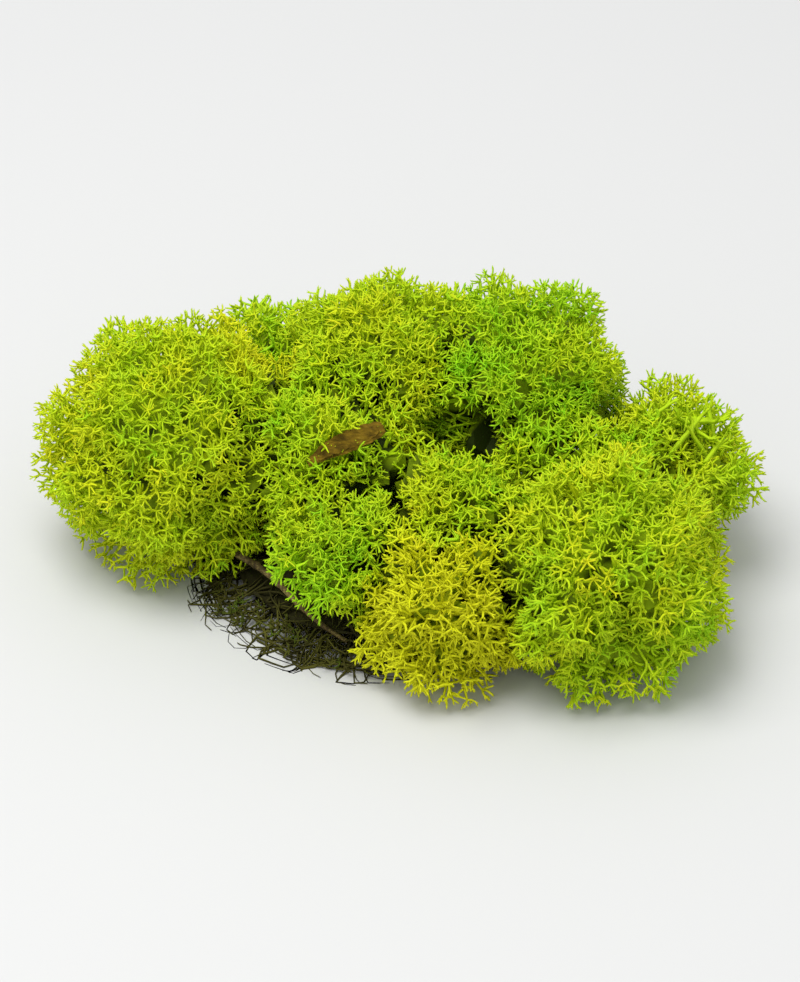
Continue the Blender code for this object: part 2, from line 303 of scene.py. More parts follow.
# How the sprigs are set: how closely, how far they stray, how big, and how deep at a wall.
PACKING = 0.866
GOLDEN_ANGLE = pi * (3 - sqrt(5))
SPRIG_STRAY, SPRIG_SIZES = 0.22, (0.85, 1.12)
UNEVEN = 0.45
WALL, WALL_PAST, WALL_WAVE, WALL_PATCH, LITTER_GAP = 5.5, 0.6, 3.0, 6, 0.4
UNDERSIDE_FROM, UNDERSIDE_THINNING, UNDERSIDE_MOST = 0.25, 0.8, 0.6
STAR_DEPTH = 0.95
AXIS_SURFACE, AXIS_OUTWARD, AXIS_STRAY = 0.8, 0.45, 0.13
# Depth is 0 at the tips and 1 at the heart of the head: how it grows along a sprig.
SPRIG_ROOT, SPRIG_TIP_REACH, SPRIG_FOOT, STALK_DARKENING = (0, 0, -0.3), 2.3, 0.30, 0.10
# Painted shade on sprigs sunk in the hollows and creases: how deep they sink before it is full, and how
# strong it is.
SUNK_FULLY, SUNK_PAINTED_SHADE = 9, 0.9
# Strands darken inwards, partly as older, duller stems and partly as painted shade.
BRANCH_FULLY, BRANCH_AGE_AND_SHADE, BRANCH_OUTER = 12, 0.62, 0.12
# Branchlets that cross under the sprigs: how deep they start, how far they reach, how thick.
CROSSING_DEPTHS = ((1.2, 3.2), (2.2, 4.6), (3.6, 6.6))
CROSSING_REACH, CROSSING_RISE, CROSSING_STRAY = (2.2, 3.8), (-0.1, 0.9), 0.45
CROSSING_THICK, CROSSING_START = (0.34, 0.31, 0.12), 0.5
# Forks from the sprigs inwards: how many join, how far in, how thick and thin, and steps.
FORKS = ((3.1, 3.0, 0.42, 0.29, 3), (3.0, 4.4, 0.60, 0.45, 4), (3.0, 6.0, 0.85, 0.62, 4))
FORK_FOLLOW, FORK_STRAY, FORK_TURN, FORK_TOP = 0.6, 0.12, 0.3, 0.15
TRUNK_THICK, TRUNK_STEPS = (1.3, 0.9), 4
FOOT_DEPTH, FOOT_LEAN = 0.45, 0.012
# The head whose branches show bare on one side: which way that side faces, and how many.
OPEN_HEAD, OPEN_WAY, OPEN_BRANCHES, OPEN_FORKS = "head_right", (0.42, -0.22, 0.80), 14, 3
BARE_SCATTER, BARE_STRIDE, BARE_BACK = 0.34, (0.10, 0.30), 0.42
BARE_ROOT_DEPTH, BARE_TIP_DEPTH, BARE_STEPS, BARE_THICK = 8, 0.5, 7, (0.80, 0.50)
BARE_ASIDE, BARE_OUTWARD = 0.7, 0.7
BARE_FORK_REACH, BARE_FORK_STRAY, BARE_FORK_OUTWARD, BARE_FORK_OVERLAP = 3.4, 0.55, 0.5, 0.3
BARE_FORK_THICK = (0.46, 0.38, 0.30, 0.14)
BARE_TONE, BARE_DEPTH = 0.24, 0.02
# The close-grown inside of a head.
CORE_DEPTH, CORE_LEAST, CORE_ROUGH, CORE_CREASE = 7.5, 2.0, 1.3, 1.8
CORE_GAP, CORE_BARK_GAP, CORE_TWIG_GAP = 0.5, 2.0, 1.0
# The inside's place on the colour map: painted shade, lighter on its bumps and darker in its dips and where
# hollows and creases sink it.
CORE_TONE, CORE_PAINTED_SHADE, CORE_PAINTED_SHADE_ROUGH, CORE_PAINTED_SHADE_SUNK = -0.05, 0.80, 0.12, 0.1
BALL_SUBDIVISIONS = 4
MM = 0.001
UV_SPREAD, UV_EDGE = 0.012, 0.005

# The two bits of litter, which the moss leaves room for.
Litter = namedtuple("Litter", "middle tip up length width thick")
BARK = Litter(Vector((-8.7, -8.0, 41.7)), Vector((-0.2, -3.8, 43.0)), Vector((0.18, -0.61, 0.77)),
              18.0, 4.2, 1.5)
TWIG = Litter(Vector((-20.5, -17.5, 6.8)), Vector((-7.5, -29.0, 3.6)), Vector((-0.20, -0.25, 0.95)),
              35.0, 4.0, 2.5)

# A part of a piece before its parts become one mesh, and the sprigs of a head as placed.
Part = namedtuple("Part", "points faces tone depth smooth")
Sprigs = namedtuple("Sprigs", "surface out stars axes size")


def litter_frame(litter):
    """Axes of a piece of litter: along it, across it and out of the moss."""
    along = (litter.tip - litter.middle).normalized()
    across = litter.up.cross(along).normalized()
    return along, across, along.cross(across)


def unit(vectors):
    return vectors / np.maximum(np.linalg.norm(vectors, axis=1, keepdims=True), TINY)


def centre(head):
    return np.array((head.x, head.y, head.z))


def distances(places, spot):
    return np.linalg.norm(places - np.array(spot), axis=1)


def noise_at(places, size, shift=(0, 0, 0)):
    """Smooth noise at places, in patches of about a size."""
    return np.array([noise.noise(Vector(place) / size + Vector(shift)) for place in places])


def even_directions(count):
    """Directions spread evenly over a sphere."""
    steps = np.arange(count) + 0.5
    height = 1 - 2 * steps / count
    out = np.sqrt(1 - height ** 2)
    turn = steps * GOLDEN_ANGLE
    return np.stack([out * np.cos(turn), out * np.sin(turn), height], 1)


def sprig_count(head):
    """How many sprigs would cover the whole ball of a head at its spacing."""
    return int(4 * pi * head.radius ** 2 / (PACKING * head.spacing ** 2))


def relief(places):
    """How far the lobes and knobs of the cauliflower surface stand out, at places on it."""
    found = []
    for place in places:
        place = Vector(place)
        lobe = noise.voronoi(place / LOBE_SIZE)[0][0]
        knob = noise.voronoi(place / KNOB_SIZE)[0][0]
        found.append(LOBE_HEIGHT * (RELIEF_MIDDLE - lobe ** 2) + KNOB_HEIGHT * (RELIEF_MIDDLE - knob ** 2))
    return np.array(found)


def outside(places):
    """How far places are out of the rounded mass that the heads make together."""
    out = [distances(places, centre(head)) - head.radius for head in HEADS]
    nearest = np.min(out, axis=0)
    return nearest - MERGE * np.log(sum(np.exp((nearest - far) / MERGE) for far in out))


def crown_radius(head, directions):
    """How far out the surface lies from the head's middle, in each direction."""
    middle = centre(head)
    out = head.radius + relief(middle + directions * head.radius)
    bumps = out - head.radius
    for _ in range(SEEK_STEPS):
        out = out - SEEK_PACE * (outside(middle + directions * out[:, None]) - bumps)
    return out


def crown_normals(head, directions):
    """Which way the crown's lobed surface faces, in each direction."""
    step = NORMAL_STEP / head.radius
    aside = unit(np.cross(directions, directions[:, [1, 2, 0]]))
    other = np.cross(directions, aside)
    places = []
    for lean in (0 * aside, step * aside, step * other):
        ways = unit(directions + lean)
        places.append(ways * crown_radius(head, ways)[:, None])
    normals = unit(np.cross(places[1] - places[0], places[2] - places[0]))
    return normals * np.sign((normals * directions).sum(1))[:, None]


def hollow_depth(places):
    """How far the branches stop short of the surface at places, in the hollows."""
    depth = np.zeros(len(places))
    for place, size, deep in HOLLOWS:
        near = distances(places, place) / size
        depth = np.maximum(depth, deep * np.clip(HOLLOW_EDGE * (1 - near ** 2), 0, 1))
    return depth


def crease_depth(places, head, beside):
    """How far the branches stop short of the surface at places, in the creases between heads."""
    least, swing = CREASE_WANDER
    wander = least + swing * noise_at(places, CREASE_PATCH, (0, 5, 0))
    depth = np.zeros(len(places))
    for normal, far in beside:
        room = far - (places - centre(head)) @ normal
        depth = np.maximum(depth, CREASE_DEPTH * np.clip(1 - room / CREASE_WIDTH, 0, 1) * wander)
    return depth


def bounding_planes(head):
    """Planes, each a way and a distance, between a head and those beside it, and under it."""
    middle = Vector((head.x, head.y, head.z))
    beside = []
    for other in HEADS:
        between = Vector((other.x, other.y, other.z)) - middle
        distance = between.length
        if other is head or distance > NEIGHBOUR_REACH * (head.radius + other.radius):
            continue
        share = (distance ** 2 + head.radius ** 2 - other.radius ** 2) / (2 * distance)
        beside.append((np.array(between / distance), share - GAP / 2))
    pivot = Vector((STEMS_MIDDLE.x, STEMS_MIDDLE.y, -STEMS_SWEEP))
    away = (middle - pivot).normalized()
    foot = pivot + away * (STEMS_SWEEP + STEMS_DOME)
    under = [(-np.array(away), (middle - foot).dot(away) - GAP / 2),
             (np.array((0.0, 0.0, -1.0)), head.z - FLOOR_CLEARANCE)]
    return beside, under


def plane_reach(planes, directions):
    """How far a ray from the head's middle runs before it meets a plane."""
    reach = np.full(len(directions), FAR)
    for normal, far in planes:
        slope = directions @ normal
        reach = np.minimum(reach, np.where(slope > TINY, far / np.maximum(slope, TINY), FAR))
    return reach


def litter_reach(litter, head, directions):
    """How far a ray from the head's middle runs before it meets a piece of litter."""
    halves = (litter.length / 2, litter.width / 2, litter.thick / 2)
    enter, leave = np.zeros(len(directions)), np.full(len(directions), FAR)
    for axis, half in zip(litter_frame(litter), halves):
        place = float(np.dot(centre(head) - np.array(litter.middle), np.array(axis)))
        pace = directions @ np.array(axis)
        pace = np.where(np.abs(pace) < TINY, TINY, pace)
        ends = np.sort(np.stack([(-half - place) / pace, (half - place) / pace]), axis=0)
        enter, leave = np.maximum(enter, ends[0]), np.minimum(leave, ends[1])
    return np.where(enter < leave, enter, FAR)


def tone_at(places):
    """The tone at places, from the dye and, on the cap's left flank, painted shade: green is 0, yellow is a
    half and old gold is 1.
    """
    weights = np.stack([np.exp(-(distances(places, centre(head)) - head.radius) / TONE_BLEND)
                        for head in HEADS])
    tones = np.array([head.tone for head in HEADS])
    blended = (weights * tones[:, None]).sum(0) / weights.sum(0)
    for place, size, tone in DYE_AND_SHADE_ZONES:
        near = np.clip(ZONE_EDGE * (1 - (distances(places, place) / size) ** 2), 0, 1)
        blended = blended + (tone - blended) * near
    return blended + sum(noise_at(places, size, shift) * strength for size, strength, shift in TONE_PATCHES)


def strand_points(starts, start_ways, ends, end_ways, count):
    """Points along curved strands that leave one place and reach another in given directions."""
    span = np.linalg.norm(ends - starts, axis=1, keepdims=True)
    t = np.linspace(0, 1, count)[None, :, None]
    return ((2 * t ** 3 - 3 * t ** 2 + 1) * starts[:, None]
            + (t ** 3 - 2 * t ** 2 + t) * (start_ways * span)[:, None]
            + (3 * t ** 2 - 2 * t ** 3) * ends[:, None]
            + (t ** 3 - t ** 2) * (end_ways * span)[:, None])


def add_strands(name, strands):
    """A mesh of three-sided strands. Each group is (points, radii along them), in millimetres."""
    curve = bpy.data.curves.new(name, "CURVE")
    curve.dimensions = "3D"
    curve.bevel_mode = "OBJECT"
    curve.bevel_object = strand_section
    for points, radii in strands:
        for line in points:
            spline = curve.splines.new("POLY")
            spline.points.add(len(line) - 1)
            spline.points.foreach_set("co", np.column_stack([line * MM, np.ones(len(line))]).ravel())
            spline.points.foreach_set("radius", np.asarray(radii) * MM)
    thing = bpy.data.objects.new(name, curve)
    bpy.context.scene.collection.objects.link(thing)
    bpy.ops.object.select_all(action="DESELECT")
    thing.select_set(True)
    bpy.context.view_layer.objects.active = thing
    bpy.ops.object.convert(target="MESH")
    thing = bpy.context.object
    points = np.empty(len(thing.data.vertices) * 3)
    thing.data.vertices.foreach_get("co", points)
    faces = np.array([face.vertices[:] for face in thing.data.polygons])
    bpy.data.objects.remove(thing)
    return points.reshape(-1, 3) / MM, faces


def faceted_ball():
    """The points and the faces of a ball of even triangles, of radius 1."""
    bpy.ops.object.select_all(action="DESELECT")
    bpy.ops.mesh.primitive_ico_sphere_add(subdivisions=BALL_SUBDIVISIONS, radius=1)
    ball = bpy.context.object
    points = np.array([vertex.co[:] for vertex in ball.data.vertices])
    faces = np.array([face.vertices[:] for face in ball.data.polygons])
    bpy.data.objects.remove(ball)
    return points, faces


def add_piece(name, parts, material):
    """One object from parts, whose UV map holds the tone and the depth, painted shade included, that its
    colour comes from.
    """
    points = np.concatenate([part.points for part in parts]) * MM
    tone = np.concatenate([part.tone for part in parts])
    depth = np.concatenate([part.depth for part in parts])
    corners, sizes, smooth, first = [], [], [], 0
    for part in parts:
        for group in part.faces:
            corners.append((group + first).ravel())
            sizes.append(np.full(len(group), group.shape[1]))
            smooth.append(np.full(len(group), part.smooth))
        first += len(part.points)
    corners, sizes = np.concatenate(corners), np.concatenate(sizes)
    mesh = bpy.data.meshes.new(name)
    mesh.vertices.add(len(points))
    mesh.vertices.foreach_set("co", points.ravel())
    mesh.loops.add(len(corners))
    mesh.loops.foreach_set("vertex_index", corners)
    mesh.polygons.add(len(sizes))
    mesh.polygons.foreach_set("loop_start", np.cumsum(sizes) - sizes)
    mesh.update(calc_edges=True)
    mesh.polygons.foreach_set("use_smooth", np.concatenate(smooth))
    # Neighbouring points are set a little apart on the map, so that every face has an area there.
    spread = (np.arange(len(points)) % 3 - 1) * UV_SPREAD
    places = np.clip(np.stack([tone + spread, depth], 1), UV_EDGE, 1 - UV_EDGE)
    layer = mesh.uv_layers.new(name="OFBake")
    layer.data.foreach_set("uv", places[corners].ravel())
    mesh.materials.append(material)
    mesh.validate()
    thing = bpy.data.objects.new(name, mesh)
    bpy.context.scene.collection.objects.link(thing)
    return thing


def place_sprigs(head, beside, under, seeded):
    """Where a head's sprigs stand on its crown, how deep, which way they face and how big."""
    middle = centre(head)
    ways = even_directions(sprig_count(head))
    ways = unit(ways + seeded.normal(0, SPRIG_STRAY * head.spacing / head.radius, ways.shape))
    surface = crown_radius(head, ways)
    places = middle + ways * surface[:, None]
    sunk = np.maximum(hollow_depth(places), crease_depth(places, head, beside))
    wavy = noise_at(middle + ways * head.radius, WALL_PATCH) * WALL_WAVE
    room = plane_reach(beside + under, ways) + wavy + WALL_PAST
    for litter in (BARK, TWIG):
        room = np.minimum(room, litter_reach(litter, head, ways) - LITTER_GAP)
    kept = room > surface - WALL
    thinning = (-ways[:, 2] - UNDERSIDE_FROM) * UNDERSIDE_THINNING
    kept &= seeded.random(len(ways)) > np.clip(thinning, 0, UNDERSIDE_MOST)
    ways, surface, room, sunk = ways[kept], surface[kept], room[kept], sunk[kept]
    size = head.stout * seeded.uniform(*SPRIG_SIZES, len(ways))
    out = np.minimum(surface - sunk + seeded.normal(0, UNEVEN, len(ways)), room)
    stars = middle + ways * (out - STAR_DEPTH * size)[:, None]
    stars[:, 2] = np.maximum(stars[:, 2], sprig_reach * size)
    axes = unit(crown_normals(head, ways) * AXIS_SURFACE + ways * AXIS_OUTWARD
                + seeded.normal(0, AXIS_STRAY, ways.shape))
    return Sprigs(surface, out, stars, axes, size)


def sprig_parts(placed, seeded):
    """The head's sprigs, one part for each kind: copies turned to their axes."""
    aside = unit(np.cross(placed.axes, unit(seeded.normal(0, 1, placed.axes.shape))))
    frames = np.stack([aside, np.cross(placed.axes, aside), placed.axes], 2)
    sunk = np.clip((placed.surface - placed.out) / SUNK_FULLY, 0, 1)
    tones = tone_at(placed.stars) + seeded.normal(0, TONE_STRAY, len(sunk))
    kinds = seeded.integers(0, SPRIG_KINDS, len(sunk))
    parts = []
    for kind, (points, faces) in enumerate(sprigs):
        chosen = np.flatnonzero(kinds == kind)
        if not len(chosen):
            continue
        turned = np.einsum("nij,pj->npi", frames[chosen], points)
        spots = turned * placed.size[chosen, None, None] + placed.stars[chosen, None]
        far_out = np.clip(np.linalg.norm(points - SPRIG_ROOT, axis=1) / SPRIG_TIP_REACH, 0, 1)
        # Deeper towards the axil and down the stalk, and painted shade where the sprig is sunk in a hollow
        # or crease.
        depth = ((SPRIG_FOOT * (1 - far_out))[None] + SUNK_PAINTED_SHADE * sunk[chosen, None]
                 + np.maximum(-points[:, 2], 0)[None] * STALK_DARKENING)
        first = (np.arange(len(chosen)) * len(points))[:, None, None]
        groups = [(like[None] + first).reshape(-1, like.shape[1]) for like in faces]
        tone = np.repeat(tones[chosen], len(points))
        parts.append(Part(spots.reshape(-1, 3), groups, tone, depth.ravel(), True))
    return parts


def crossing_branchlets(head, placed, seeded):
    """Strands that start under the sprigs and cross the gaps between them."""
    axes, radii = placed.axes, np.array(CROSSING_THICK) * head.stout
    strands = []
    for near, deep in CROSSING_DEPTHS:
        sideways = unit(np.cross(axes, unit(seeded.normal(0, 1, axes.shape))))
        inward = (seeded.uniform(near, deep, len(axes)) * head.stout)[:, None]
        start = placed.stars - axes * inward
        lift = unit(sideways + axes * seeded.uniform(*CROSSING_RISE, len(axes))[:, None])
        end_way = unit(lift + seeded.normal(0, CROSSING_STRAY, axes.shape))
        reach = seeded.uniform(*CROSSING_REACH, len(axes))[:, None] * head.stout
        start_way = unit(sideways + CROSSING_START * axes)
        line = strand_points(start, start_way, start + lift * reach, end_way, len(CROSSING_THICK))
        strands.append((line, radii))
    return strands


def forking_branches(head, placed, seeded):
    """Strands from the sprigs down to the foot of the head, joined a few at a time."""
    middle = centre(head)
    foot = middle - FOOT_DEPTH * head.radius * np.array((head.x * FOOT_LEAN, head.y * FOOT_LEAN, 1.0))
    ends, end_ways = placed.stars - placed.axes * FORK_TOP, placed.axes
    count = sprig_count(head)
    strands = []
    for joined, inward, thick, thin, steps in FORKS:
        count = int(count / joined)
        nearest = np.argmax(unit(ends - middle) @ even_directions(count).T, axis=1)
        parent = np.unique(nearest, return_inverse=True)[1]
        sizes = np.bincount(parent)[:, None]
        mean = np.stack([np.bincount(parent, ends[:, axis]) for axis in range(3)], 1) / sizes
        mean_way = unit(np.stack([np.bincount(parent, end_ways[:, axis]) for axis in range(3)], 1))
        inwards = unit(unit(mean - foot) + mean_way * FORK_FOLLOW
                       + seeded.normal(0, FORK_STRAY, mean.shape))
        starts = mean - inwards * inward * head.stout
        start_ways = unit(mean - starts + seeded.normal(0, FORK_TURN, mean.shape))
        line = strand_points(starts[parent], start_ways[parent], ends, end_ways, steps)
        strands.append((line, np.linspace(thick, thin, steps) * head.stout))
        ends, end_ways = starts, start_ways
    upward = np.tile(unit(middle[None] - foot), (len(ends), 1))
    line = strand_points(np.tile(foot, (len(ends), 1)), upward, ends, end_ways, TRUNK_STEPS)
    strands.append((line, np.linspace(*TRUNK_THICK, TRUNK_STEPS) * head.stout))
    return strands


def branch_part(head, strands):
    """The head's strands as one part, kept off the floor and darker the deeper they lie: partly the older
    stems' duller colour, partly painted shade.
    """
    for line, _ in strands:
        line[..., 2] = np.maximum(line[..., 2], STRAND_FLOOR)
    points, faces = add_strands("strands", strands)
    outward = points - centre(head)
    far = np.linalg.norm(outward, axis=1)
    outer = crown_radius(head, unit(outward)[::BRANCH_SIDES]).repeat(BRANCH_SIDES)
    depth = np.clip((outer - far) / BRANCH_FULLY, 0.0, 1) * BRANCH_AGE_AND_SHADE + BRANCH_OUTER
    return Part(points, [faces], tone_at(points), depth, True)


def bare_branches(head, seeded):
    """Long branches without sprigs, which arch over the open side of a head and fork."""
    middle = centre(head)
    bare = []
    for _ in range(OPEN_BRANCHES):
        lean = unit(np.array([OPEN_WAY]) + seeded.normal(0, BARE_SCATTER, (1, 3)))
        aside = unit(np.cross(lean, seeded.normal(0, 1, (1, 3))))
        root_way = unit(lean - BARE_BACK * aside)
        tip_way = unit(lean + seeded.uniform(*BARE_STRIDE) * aside)
        root = middle + root_way * (head.radius - BARE_ROOT_DEPTH)
        tip = middle + tip_way * (head.radius - BARE_TIP_DEPTH)
        onward = unit(tip_way * BARE_OUTWARD + aside)
        line = strand_points(root, unit(root_way + BARE_ASIDE * aside), tip, onward, BARE_STEPS)
        bare.append((line, np.linspace(*BARE_THICK, BARE_STEPS)))
        for _ in range(OPEN_FORKS):
            fork_way = unit(onward + seeded.normal(0, BARE_FORK_STRAY, (1, 3)))
            fork_tip = tip + BARE_FORK_REACH * unit(fork_way + tip_way * BARE_FORK_OUTWARD)
            fork_root = tip - BARE_FORK_OVERLAP * onward
            line = strand_points(fork_root, onward, fork_tip, fork_way, len(BARE_FORK_THICK))
            bare.append((line, np.array(BARE_FORK_THICK)))
    points, faces = add_strands("bare", bare)
    tone, depth = np.full(len(points), BARE_TONE), np.full(len(points), BARE_DEPTH)
    return Part(points, [faces], tone, depth, True)


def core_part(head, beside, under, seeded):
    """The close-grown inside of a head, which shows between the branches in the olive inside colour,
    darkened with painted shade.
    """
    middle = centre(head)
    ways, faces = faceted_ball()
    ways = unit(ways)
    reach = np.minimum(crown_radius(head, ways) - CORE_DEPTH, plane_reach(beside + under, ways) - CORE_GAP)
    reach = np.minimum(reach, litter_reach(BARK, head, ways) - CORE_BARK_GAP)
    reach = np.minimum(reach, litter_reach(TWIG, head, ways) - CORE_TWIG_GAP)
    places = middle + ways * (reach + CORE_DEPTH)[:, None]
    sunk = np.maximum(hollow_depth(places), CORE_CREASE * crease_depth(places, head, beside))
    rough = np.minimum(seeded.normal(0, 1.0, len(ways)), 1.0)
    reach = np.maximum(reach - sunk + rough * CORE_ROUGH, CORE_LEAST)
    points = middle + ways * reach[:, None]
    points[:, 2] = np.maximum(points[:, 2], STRAND_FLOOR)
    # Painted shade: lighter on the bumps, darker in the dips and where the inside is sunk.
    painted_shade = CORE_PAINTED_SHADE - CORE_PAINTED_SHADE_ROUGH * rough + sunk * CORE_PAINTED_SHADE_SUNK
    return Part(points, [faces], np.full(len(ways), head.tone + CORE_TONE), painted_shade, False)


bpy.ops.mesh.primitive_circle_add(vertices=BRANCH_SIDES, radius=1)
strand_section = bpy.context.object
bpy.ops.object.convert(target="CURVE")
strand_section.hide_render = True

# The colours from the tips inwards, the first two of them for green, yellow and gold. Each
# one after the tips comes in over the one before it between two depths. The olive third is
# partly the duller colour of the old inside and partly painted shade deep in the head; the
# near-black last one is painted shade, in the hollows, the creases and the dips of the inside.
MOSS_TIPS = ((0.0, (0.31, 0.69, 0.010)), (0.5, (0.74, 0.77, 0.010)), (1.0, (0.60, 0.58, 0.014)))
MOSS_STEMS = ((0.0, (0.32, 0.70, 0.004)), (0.5, (0.74, 0.77, 0.005)), (1.0, (0.60, 0.56, 0.007)))
INSIDE_AND_PAINTED_SHADE_COLOUR = (0.25, 0.35, 0.003, 1)
PAINTED_SHADE_COLOUR = (0.022, 0.036, 0.001, 1)
STEMS_COME_IN, INSIDE_AND_PAINTED_SHADE_COMES_IN, PAINTED_SHADE_COMES_IN = (0.05, 0.50), (0.48, 0.84), (0.82, 1.0)

moss_materials = {}
for slot in ("moss_yellow_green", "moss_green", "moss_golden"):
    material, shader = new_material(slot + "_dyed_and_painted_shade", Roughness=0.7, Specular_IOR_Level=0.18)
    place = shader.node("ShaderNodeUVMap", {"uv_map": "OFBake"})
    tone_and_depth = shader.node("ShaderNodeSeparateXYZ", Vector=place)
    tips = shader.node("ShaderNodeValToRGB", {"stops": MOSS_TIPS}, Fac=tone_and_depth["X"])
    stems = shader.node("ShaderNodeValToRGB", {"stops": MOSS_STEMS}, Fac=tone_and_depth["X"])
    colour = tips[0]
    # Over the tips come the stems, then the olive inside that is partly painted shade, then near-black
    # painted shade.
    for deeper, (start, end) in ((stems[0], STEMS_COME_IN), (INSIDE_AND_PAINTED_SHADE_COLOUR, INSIDE_AND_PAINTED_SHADE_COMES_IN),
                                 (PAINTED_SHADE_COLOUR, PAINTED_SHADE_COMES_IN)):
        mixed = shader.node("ShaderNodeMapRange", {"interpolation_type": "SMOOTHSTEP"},
                            Value=tone_and_depth["Y"], From_Min=start, From_Max=end)
        colour = shader.node("ShaderNodeMix", {"data_type": "RGBA"}, Factor=mixed, _6=colour, _7=deeper)[2]
    shader.feed(Base_Color=colour)
    moss_materials[slot] = material

for number, head in enumerate(HEADS):
    seeded = np.random.default_rng(HEAD_SEED + number)
    beside, under = bounding_planes(head)
    placed = place_sprigs(head, beside, under, seeded)
    parts = sprig_parts(placed, seeded)
    strands = crossing_branchlets(head, placed, seeded) + forking_branches(head, placed, seeded)
    if head.name == OPEN_HEAD:
        parts.append(bare_branches(head, seeded))
    parts.append(branch_part(head, strands))
    parts.append(core_part(head, beside, under, seeded))
    piece = add_piece(head.name + "_moss", parts, moss_materials[head.slot])
    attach(piece, "root")
    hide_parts(head.name)

# Old stems.
# Under the heads lies what they have outgrown: dead stems that took no dye, dull olive and
# brown, bent over and matted into a low pad that is pressed flat where the clump rests.
STEMS_REACH = (41.0, 35.0)
STEMS_UNDER = 6.5
STEMS_LOWEST = 0.3
STEM_SEED, STEM_COUNT, STEM_STEPS, STEM_STRIDE, STEM_PATCH = 7, 1050, 7, 2.6, 7
STEM_THICK, STEM_TAPER, STEM_SIZES = (0.18, 0.42), (1, 0.45), 4
STEM_START = (0.12, 1.0)
STEM_LEVELS = (0.7, 0.9)
STEM_CURL, STEM_WOBBLE, STEM_RISE, STEM_DRIFT = 0.42, 0.30, 0.10, 0.08
# How far out the stems end, as shares of the pad's reach, and how the pad's rim is drawn down.
STEMS_FRAY, FRAY_LIMITS = 1.06, (0.86, 1.06)
TOP_PAST, RIM_FROM, RIM_DROP = 0.9, 0.85, 11.0
TWIG_BED = 1.0
# Dead sprigs on the pad's open side: how many, where from and to, and how big.
DEAD_SPRIGS, DEAD_AROUND, DEAD_OUT, DEAD_SIZES = 90, (-2.9, -1.5), (0.62, 1.02), (0.7, 1.0)
DEAD_DROP, DEAD_PAST, DEAD_LEAST, DEAD_FLOOR = 0.35, 0.3, 1.5, 0.2
DEAD_LEAN, DEAD_UPWARD, DEAD_STRAY = 60, 0.8, 0.35
DEAD_TONES, DEAD_DEPTH = (0.5, 1.0), 0.15
DEAD_TWIG_GAP = (2, 2.5)
# The pad's inside: its size, roughness, tone, and how far it is darkened as painted shade.
MAT_CORE, MAT_CORE_ROUGH, MAT_CORE_TONE, MAT_CORE_PAINTED_SHADE = 0.80, 0.5, 0.3, 0.9
MAT_CORE_GAPS, MAT_CORE_FLAT = (0.2, 0.6), -0.97
# The dead stems' own dull olive and brown, set a little darker to stand for the shade the pad lies in, and
# a near-black painted shade laid over them, most in the pad's middle under the heads.
STEM_COLOURS = ((0.0, (0.024, 0.020, 0.004)), (0.45, (0.060, 0.056, 0.008)),
                (0.75, (0.11, 0.105, 0.014)), (1.0, (0.10, 0.15, 0.010)))
STEM_PAINTED_SHADE, STEM_PAINTED_SHADE_SHARE = (0.012, 0.011, 0.004, 1), 0.6


def mat_under(share):
    """The height of the pad's underside, from its middle, 0, to its rim, 1."""
    return np.maximum(STEMS_MIDDLE.z - STEMS_UNDER * np.sqrt(np.clip(1 - share ** 2, 0, 1)), STEMS_LOWEST)


def mat_top(x, y):
    """The height of the domed top of the pad, which carries the heads."""
    return np.sqrt((STEMS_SWEEP + STEMS_DOME) ** 2 - x ** 2 - y ** 2) - STEMS_SWEEP


def on_mat(share, around):
    """A place on the pad, from its share of the way to the rim and its compass angle."""
    return share * np.cos(around) * STEMS_REACH[0], share * np.sin(around) * STEMS_REACH[1]


def stem_lines(seeded):
    """Points along the dead stems, which wander between the pad's underside and its top."""
    share = np.sqrt(seeded.uniform(*STEM_START, STEM_COUNT))
    around = seeded.uniform(0, 2 * pi, STEM_COUNT)
    level = seeded.beta(*STEM_LEVELS, STEM_COUNT)
    heading = around + seeded.normal(0, 1.0, STEM_COUNT)
    turning = seeded.normal(0, STEM_CURL, STEM_COUNT)
    rise = seeded.normal(0.0, STEM_RISE, STEM_COUNT)
    limit = STEMS_FRAY * seeded.uniform(*FRAY_LIMITS, STEM_COUNT)
    x, y = on_mat(share, around)
    lines = []
    for _ in range(STEM_STEPS):
        share = np.hypot(x / STEMS_REACH[0], y / STEMS_REACH[1])
        over = np.maximum(share / limit, 1)
        x, y, share = x / over, y / over, share / over
        high = mat_top(x, y) + TOP_PAST - RIM_DROP * np.clip(share - RIM_FROM, 0, 1)
        z = STEMS_LOWEST + (high - STEMS_LOWEST) * np.clip(level, 0, 1)
        lines.append(np.stack([x, y, z], 1))
        heading = heading + turning + seeded.normal(0, STEM_WOBBLE, STEM_COUNT)
        level = level + rise + seeded.normal(0, STEM_DRIFT, STEM_COUNT)
        x, y = x + STEM_STRIDE * np.cos(heading), y + STEM_STRIDE * np.sin(heading)
    return np.stack(lines, 1)


def beside_twig(places):
    """How far places are from the twig's middle, along it, across it and out of the moss."""
    return [(places - np.array(TWIG.middle)) @ np.array(axis) for axis in litter_frame(TWIG)]


def matted_stems(seeded):
    """The dead stems as one part, laid under the twig where they would cross it."""
    lines = stem_lines(seeded)
    taper = np.linspace(*STEM_TAPER, STEM_STEPS)
    sizes = np.linspace(*STEM_THICK, STEM_SIZES)
    points, faces = add_strands("stems", [(lines[first::STEM_SIZES], taper * thick)
                                          for first, thick in enumerate(sizes)])
    points[:, 2] = np.maximum(points[:, 2], 0.0)
    along, across, out = beside_twig(points)
    over = (np.abs(along) < TWIG.length / 2) & (np.abs(across) < TWIG.width / 2)
    above = np.where(over, np.clip(out + TWIG_BED, 0, None), 0)
    points = points - above[:, None] * np.array(litter_frame(TWIG)[2])
    points[:, 2] = np.maximum(points[:, 2], 0.0)
    tone = (noise_at(points, STEM_PATCH) + 1) / 2
    # Painted shade, growing towards the pad's middle, under the heads.
    depth = np.clip(1.0 - np.hypot(points[:, 0] / STEMS_REACH[0], points[:, 1] / STEMS_REACH[1]), 0, 1)
    return Part(points, [faces], tone, depth, True)


